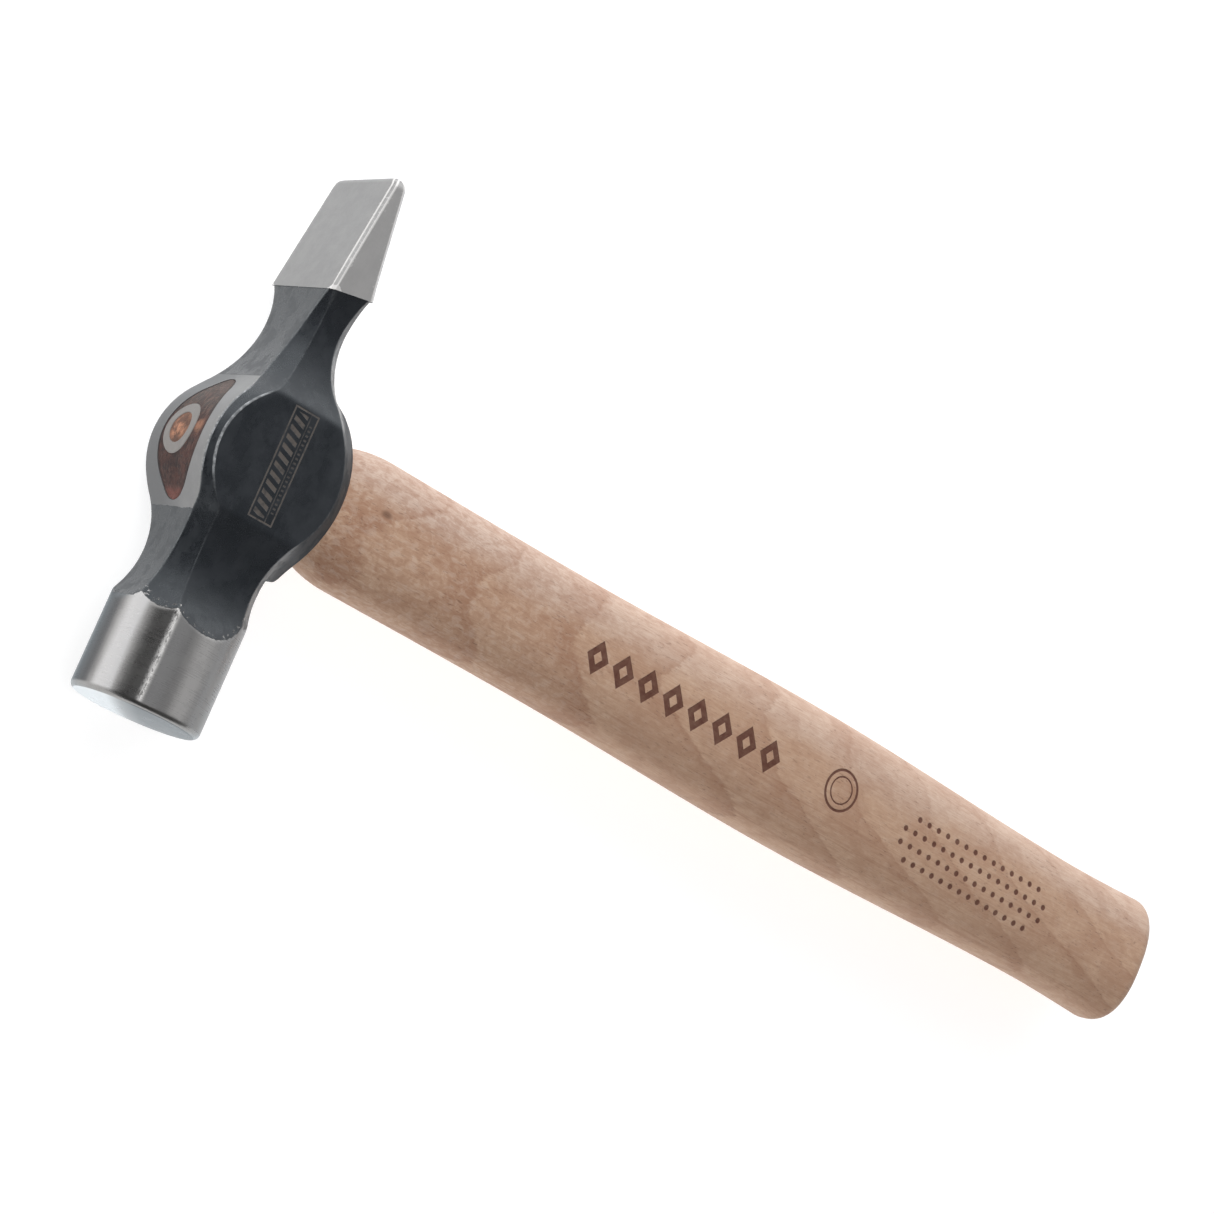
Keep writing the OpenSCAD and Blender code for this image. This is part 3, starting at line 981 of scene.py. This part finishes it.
def head_material():
    """Slate-blue lacquer over forged steel, with the working parts ground bright."""
    g = Surface("forged_steel")
    x, y, z = g.axes()
    arris = g.attribute("arris")
    bare = ground_mask(g, x, y, z)
    etch = etched_frame(g, x, y, z)
    turned = g.noise(0.30, stretch=(60, 1, 60), detail=4, roughness=0.7, shift=5)
    grit = g.noise(0.5, detail=4, roughness=0.7, shift=18)
    patches = g.noise(3.5, detail=5, roughness=0.65, shift=8)
    paint = g.mix(etch, lacquer(g, x, y, arris), ETCH)
    steel = ground_steel(g, x, y, z, arris, turned, grit, patches)
    g.set(Base_Color=g.mix(bare, paint, steel))

    coarse = y.above(POLL_ROUND_START, 4)
    matt = coarse * 0.42 + on_poll(y) * poll_turn(g, x, z).above(62, 5) * 0.70
    g.set(Metallic=bare * (1 - matt))
    mottle = g.noise(6, detail=4, roughness=0.6)
    fine = g.noise(0.5, detail=3, shift=9)
    smears = g.noise(3.2, stretch=(1, 1.6, 1), detail=5, roughness=0.65, shift=22).above(0.52, 0.12)
    satin = mottle * 0.12 + smears * 0.16 + fine * 0.05 + x.above(11, 4) * 0.35 + 0.18
    ground = turned * 0.10 + patches * 0.10 + coarse * 0.16 + 0.18
    g.set(Roughness=g.blend(bare, satin, ground) + etch * 0.3)
    g.set(IOR=1.7)
    g.set(Specular_Tint=(0.90, 0.96, 1.0, 1))
    orange_peel = g.bump(g.noise(1.6, detail=3, shift=12) * (1 - bare), 0.035)
    grinding = g.bump((turned * 0.6 + grit * 0.4) * bare, 0.014, orange_peel)
    lacquer_edge = g.bump(1 - bare, 0.05, grinding)
    g.set(Normal=g.bump(1 - etch, 0.03, lacquer_edge))
    return g.material


def ring_material():
    """Pewter-grey ring wedge, dressed flush with the crown."""
    g = Surface("wedge_steel")
    scratches = g.noise(0.25, stretch=(1, 24, 1), detail=4, roughness=0.7)
    patches = g.noise(1.8, detail=4, shift=3)
    g.set(Base_Color=g.mix(patches * 0.6 + scratches * 0.4, PEWTER_DARK, PEWTER))
    g.set(Metallic=0.9)
    g.set(Roughness=patches * 0.2 + 0.34)
    g.set(Normal=g.bump(scratches, 0.02))
    return g.material


# ---------------------------------------------------------------- wood

TAN = (0.49, 0.330, 0.232)
# pale tan for mottling, and for the pale +Y side, which is partly painted sheen
TAN_PALE_AND_SHEEN = (0.51, 0.395, 0.328)
GRAIN = (0.275, 0.138, 0.085)
PORE = (0.17, 0.095, 0.065)
BURNT = (0.085, 0.030, 0.022)
PITH = (-3.5, -3.5)       # y and z of the middle of the growth rings, at the eye
PITH_DRIFT = 0.05        # how fast that middle moves along y
PITH_SLOPE = 0.2         # how fast the rings grow along x, which makes them arches
RING_GAP = 5.0
RING_SHIFT = 2.56
WOOD_SHEEN = 0.2         # bare wood barely reflects
KNOT = (27.2, 2.9)       # x and y of the small knot behind the head
KNOT_SQUEEZE = 0.632     # its width, as a share of its length

# Burnt marks
BAND = (81.5, 137.5)     # x where the row of lozenges starts and ends
BAND_MIDDLE = -0.8
LOZENGE_PITCH = 7.0
LOZENGE_OUT = (2.9, 3.7)     # half sizes along x and y, outside and inside its line
LOZENGE_IN = (1.15, 1.5)
BURNT_RING_AT = (154.8, 0.5)
BURNT_RINGS = ((4.35, 0.28), (2.9, 0.16))   # radius and half width of each line
GRIP_PITCH = (3.0, 3.1)
GRIP_AT = (197.5, -1.05)
GRIP_DOT_R = 0.62
GRIP_COLUMNS = 7.9       # how many columns and rows out from the middle
GRIP_ROWS = 1.9
GRIP_CORNER = (7.1, 1.1)     # past both of these a dot is left out

# End grain in the eye
END_RED = (0.088, 0.034, 0.026)
END_DARK = (0.022, 0.013, 0.013)
END_GREY = (0.055, 0.050, 0.047)
END_LIGHT = (0.15, 0.090, 0.072)
END_TIP_HIGHLIGHT = (0.24, 0.085, 0.065)
CORE = (0.50, 0.235, 0.135)
CORE_DARK = (0.13, 0.065, 0.045)
RUST = (0.6, 5.2)         # y and z of a rusty spot beside the ring


def growth_rings(g, x, y, z):
    """Growth rings round a leaning pith: arches on top, straight lines on the sides."""
    sway = (g.noise(34, stretch=(1.6, 1, 1), detail=2, shift=1) - 0.5) * 3.0
    ripple = (g.noise(8, stretch=(2.2, 1, 1), detail=2, shift=5) - 0.5) * 1.4
    ragged = (g.noise(0.8, stretch=(3, 1, 1), detail=3, shift=9) - 0.5) * 0.8
    across, deep = y - x * PITH_DRIFT - PITH[0], z - PITH[1]
    far = hypotenuse(across, deep)
    return (far - x * PITH_SLOPE - RING_SHIFT + sway + ripple + ragged) / RING_GAP


def vessels(g):
    """0 in the open vessels of the end grain, 1 between them."""
    return g.cells(0.55, shift=3).above(0.25, 0.3)


def end_grain(g, y, z):
    """Stained end grain in the eye, copper brown inside the ring wedge, with a painted highlight at
    its poll-side tip and painted shade along the eye's wall.
    """
    stain = g.noise(2.2, detail=5, roughness=0.65, shift=7)
    streaks = g.noise(0.5, stretch=(1, 7, 1), detail=3, shift=19)
    colour = g.mix(stain.above(0.5, 0.4), END_RED, END_DARK)
    colour = g.mix(y.above(4.5, 5) * 0.75, colour, END_GREY)
    colour = g.mix(streaks.above(0.55, 0.2) * (y.above(4.5, 5) * 0.35 + 0.3), colour, END_LIGHT)
    # painted highlight at the end grain's poll-side tip
    colour = g.mix((y - stain * 3).below(-12.6, 1.6) * 0.7, colour, END_TIP_HIGHLIGHT)
    far = hypotenuse(y - RING_Y, z - RING_Z)
    rust = hypotenuse(y - RUST[0], z - RUST[1])
    colour = g.mix((rust + stain * 2).below(2.2, 1.6) * 0.5, colour, CORE)
    core = g.mix(stain.above(0.47, 0.25), CORE, CORE_DARK)
    core = g.mix(far.above(RING_BORE_R - 0.7, 0.7) * 0.6, core, CORE_DARK)
    colour = g.mix(far.below(RING_BORE_R + 0.4, 0.2), colour, core)
    # painted shade along the eye's wall, standing in for the gap's shadow
    colour = g.mix(g.attribute("rim") * 0.8, colour, END_DARK)
    return g.mix((1 - vessels(g)) * 0.3, colour, END_DARK)


def burnt_band(x, y):
    """Row of plain lozenges burnt into the handle."""
    u = (((x - BAND[0]) / LOZENGE_PITCH).fract() - 0.5).abs() * LOZENGE_PITCH
    v = (y - BAND_MIDDLE).abs()
    outer = (u / LOZENGE_OUT[0] + v / LOZENGE_OUT[1]).below(1, 0.07)
    inner = (u / LOZENGE_IN[0] + v / LOZENGE_IN[1]).above(1, 0.12)
    return outer * inner * x.above(BAND[0], 0.1) * x.below(BAND[1], 0.1)


def burnt_rings(x, y):
    """Plain double ring."""
    far = hypotenuse(x - BURNT_RING_AT[0], y - BURNT_RING_AT[1])
    outer, inner = [(far - r).abs().below(half_w, 0.18) for r, half_w in BURNT_RINGS]
    return outer.most(inner)


def grip_dots(x, y):
    """Four rows of burnt grip dots, the corners left out."""
    i, j = (x - GRIP_AT[0]) / GRIP_PITCH[0], (y - GRIP_AT[1]) / GRIP_PITCH[1]
    off_i, off_j = i.fract() - 0.5, j.fract() - 0.5
    dot = hypotenuse(off_i * GRIP_PITCH[0], off_j * GRIP_PITCH[1]).below(GRIP_DOT_R, 0.3)
    columns_out, rows_out = (i - off_i).abs(), (j - off_j).abs()
    inside = columns_out.below(GRIP_COLUMNS, 0.1) * rows_out.below(GRIP_ROWS, 0.1)
    corner = columns_out.above(GRIP_CORNER[0], 0.1) * rows_out.above(GRIP_CORNER[1], 0.1)
    return dot * inside * (1 - corner)


def wood_colour(g, x, y, z, mottle, fibres, pores):
    """Tan wood with arched rings, blotches, fibres and pores, and a small knot; paler towards +Y
    and near the head, partly the wood's own pale streak and partly painted sheen of the light.
    """
    phase = growth_rings(g, x, y, z).fract()
    late = (1 - phase).power(2.5) * phase.above(0.03, 0.05)
    line = (1 - phase).power(12) * phase.above(0.03, 0.05)
    cloud = g.noise(16, stretch=(2.0, 1, 1), detail=3, shift=3)
    blotch = g.noise(6.0, stretch=(1.6, 1, 1), detail=4, roughness=0.6, shift=14, curl=0.8)
    threads = g.noise(0.9, stretch=(55, 1, 1), detail=3, roughness=0.65, shift=21)
    near_head, near_butt = x.below(80, 70), x.above(150, 90)
    # paler towards +Y, more so near the head: partly paler wood, partly painted sheen and light
    # from that side
    sapwood_and_sheen = (y + (cloud - 0.5) * 9).above(5.5, 7)
    colour = g.mix(sapwood_and_sheen * (near_head * 0.35 + 0.65), TAN, TAN_PALE_AND_SHEEN)
    colour = g.mix(late * (0.44 - near_butt * 0.12) * (1 - sapwood_and_sheen * 0.5), colour, GRAIN)
    colour = g.mix(line * (0.42 - near_butt * 0.16), colour, GRAIN)
    colour = g.mix(blotch.above(0.52, 0.24) * 0.28, colour, GRAIN)
    colour = g.mix(mottle.above(0.53, 0.22) * (near_head * 0.26 + 0.14), colour, GRAIN)
    colour = g.mix(mottle.below(0.44, 0.16) * (near_head * 0.24 + 0.14), colour, TAN_PALE_AND_SHEEN)
    colour = g.mix(fibres.above(0.52, 0.3) * 0.28, colour, GRAIN)
    colour = g.mix(threads.above(0.60, 0.10) * y.below(-3, 6) * 0.28, colour, GRAIN)
    colour = g.mix(pores * (late * 0.4 + 0.3), colour, PORE)
    knot_far = hypotenuse((x - KNOT[0]) * KNOT_SQUEEZE, y - KNOT[1])
    knot = (knot_far + (mottle - 0.5) * 0.8).below(0.75, 0.8) * z.above(2, 1)
    return g.mix(knot * 0.8, colour, PORE)


def handle_material():
    """Hickory: arched grain, pores, end grain in the eye, and burnt marks."""
    g = Surface("hickory")
    x, y, z = g.axes()
    mottle = g.noise(1.5, stretch=(1.6, 1, 1), detail=5, roughness=0.72, shift=2, curl=0.6)
    fibres = g.noise(0.30, stretch=(16, 1, 1), detail=4, roughness=0.7, shift=4)
    pores = g.noise(0.34, stretch=(5, 1, 1), detail=3, roughness=0.6, shift=6).above(0.64, 0.08)
    marks = burnt_band(x, y).most(burnt_rings(x, y)).most(grip_dots(x, y)) * z.above(2, 1)
    scorch = marks * (g.noise(1.2, detail=4, shift=8) * 0.35 + 0.7)
    in_eye = x.below(-6, 0.5)
    long_grain = g.mix(scorch.least(0.97), wood_colour(g, x, y, z, mottle, fibres, pores), BURNT)
    g.set(Base_Color=g.mix(in_eye, long_grain, end_grain(g, y, z)))
    g.set(Roughness=mottle * 0.12 + 0.46 + marks * 0.2)
    g.set(Specular_IOR_Level=WOOD_SHEEN)
    grain_relief = g.bump(fibres * 0.5 + mottle * 0.3 + (1 - pores) * 0.4, 0.05)
    end_relief = g.bump(vessels(g) * in_eye, 0.05, grain_relief)
    g.set(Normal=g.bump(1 - marks, 0.12, end_relief))
    return g.material


def wedge_material():
    """Darker hardwood, end grain up."""
    g = Surface("wedge_hardwood")
    _, y, z = g.axes()
    lines = g.noise(0.3, stretch=(1, 6, 1), detail=4, roughness=0.7)
    colour = g.mix(lines.above(0.5, 0.4) * 0.35, end_grain(g, y, z), END_DARK)
    g.set(Base_Color=colour)
    g.set(Roughness=lines * 0.2 + 0.45)
    g.set(Specular_IOR_Level=WOOD_SHEEN)
    g.set(Normal=g.bump(lines, 0.04))
    return g.material


# ---------------------------------------------------------------- studio

FLOOR_SIZE = 8.0
FLOOR_GLOW = 0.2         # the table is lit a little from below
HORIZON = 1.15           # white surround
CEILING = 0.60           # straight above
WALL = 0.07              # dim band between the two, darkest behind the crown
WALL_LUG_SIDE = 0.05     # how much brighter it is towards the handle
WALL_PEIN_SIDE = 0.68    # and towards the pein


def floor_material():
    """Matt white table."""
    g = Surface("pale_floor")
    g.set(Base_Color=(0.93, 0.93, 0.93))
    g.set(Emission_Color=(1, 1, 1), Emission_Strength=FLOOR_GLOW)
    g.set(Roughness=0.9)
    return g.material


def make_floor():
    """Plain pale floor."""
    half = FLOOR_SIZE / 2 / MM
    corners = [(x * half, y * half, FLOOR_Z) for x, y in ((-1, -1), (1, -1), (1, 1), (-1, 1))]
    floor = link_mesh("floor", corners, [(0, 1, 2, 3)])
    floor.data.materials.append(floor_material())


def make_world():
    """White surround near the horizon, a dim wall above it, and a pale ceiling."""
    world = bpy.data.worlds.new("studio")
    bpy.context.scene.world = world
    world.use_nodes = True
    g = Graph(world.node_tree, "Generated", 1)
    x, y, z = g.axes()
    wall = x.above(0.1, 1.0) * WALL_LUG_SIDE + y.above(0.5, 0.8) * WALL_PEIN_SIDE + WALL
    upper = g.blend((z - x * 0.25).above(0.965, 0.12), wall, CEILING)
    level = g.blend((z - y * 0.3).above(0.28, 0.16), HORIZON, upper)
    background = g.tree.nodes["Background"]
    background.inputs["Color"].default_value = (0.98, 0.99, 1.0, 1)
    g.feed(level, background.inputs["Strength"])


def make_light(name, azimuth, elevation, distance, size, power):
    """Soft area light that faces the hammer's middle, with no shadow or glint of its own."""
    data = bpy.data.lights.new(name, "AREA")
    data.shape = "DISK"
    data.size = size
    data.energy = power
    data.use_shadow = False
    light = bpy.data.objects.new(name, data)
    light.visible_glossy = False
    bpy.context.scene.collection.objects.link(light)
    a, e = math.radians(azimuth), math.radians(elevation)
    out = Vector((math.cos(a) * math.cos(e), math.sin(a) * math.cos(e), math.sin(e)))
    place = Matrix.Translation(Vector(CAMERA_AIM) * MM + out * distance)
    light.matrix_world = place @ out.to_track_quat("Z", "Y").to_matrix().to_4x4()


def make_studio():
    make_floor()
    make_world()
    make_light("key", azimuth=112, elevation=30, distance=1.2, size=1.0, power=17)
    make_light("fill", azimuth=-84, elevation=22, distance=1.6, size=1.0, power=13)
    bpy.context.scene.view_settings.view_transform = "Standard"


# ---------------------------------------------------------------- hammer

def finish_piece(piece, node, material):
    """Gives a piece its material and its body, and hides the CAD node it stands for."""
    piece.data.materials.clear()
    piece.data.materials.append(material)
    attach(piece, "root")
    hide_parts(node)


make_camera()
make_studio()
finish_piece(make_head(), "hammer_head", head_material())
finish_piece(make_handle(), "handle", handle_material())
finish_piece(make_ring_wedge(), "ring_wedge", ring_material())
finish_piece(make_wooden_wedge(), "wooden_wedge", wedge_material())
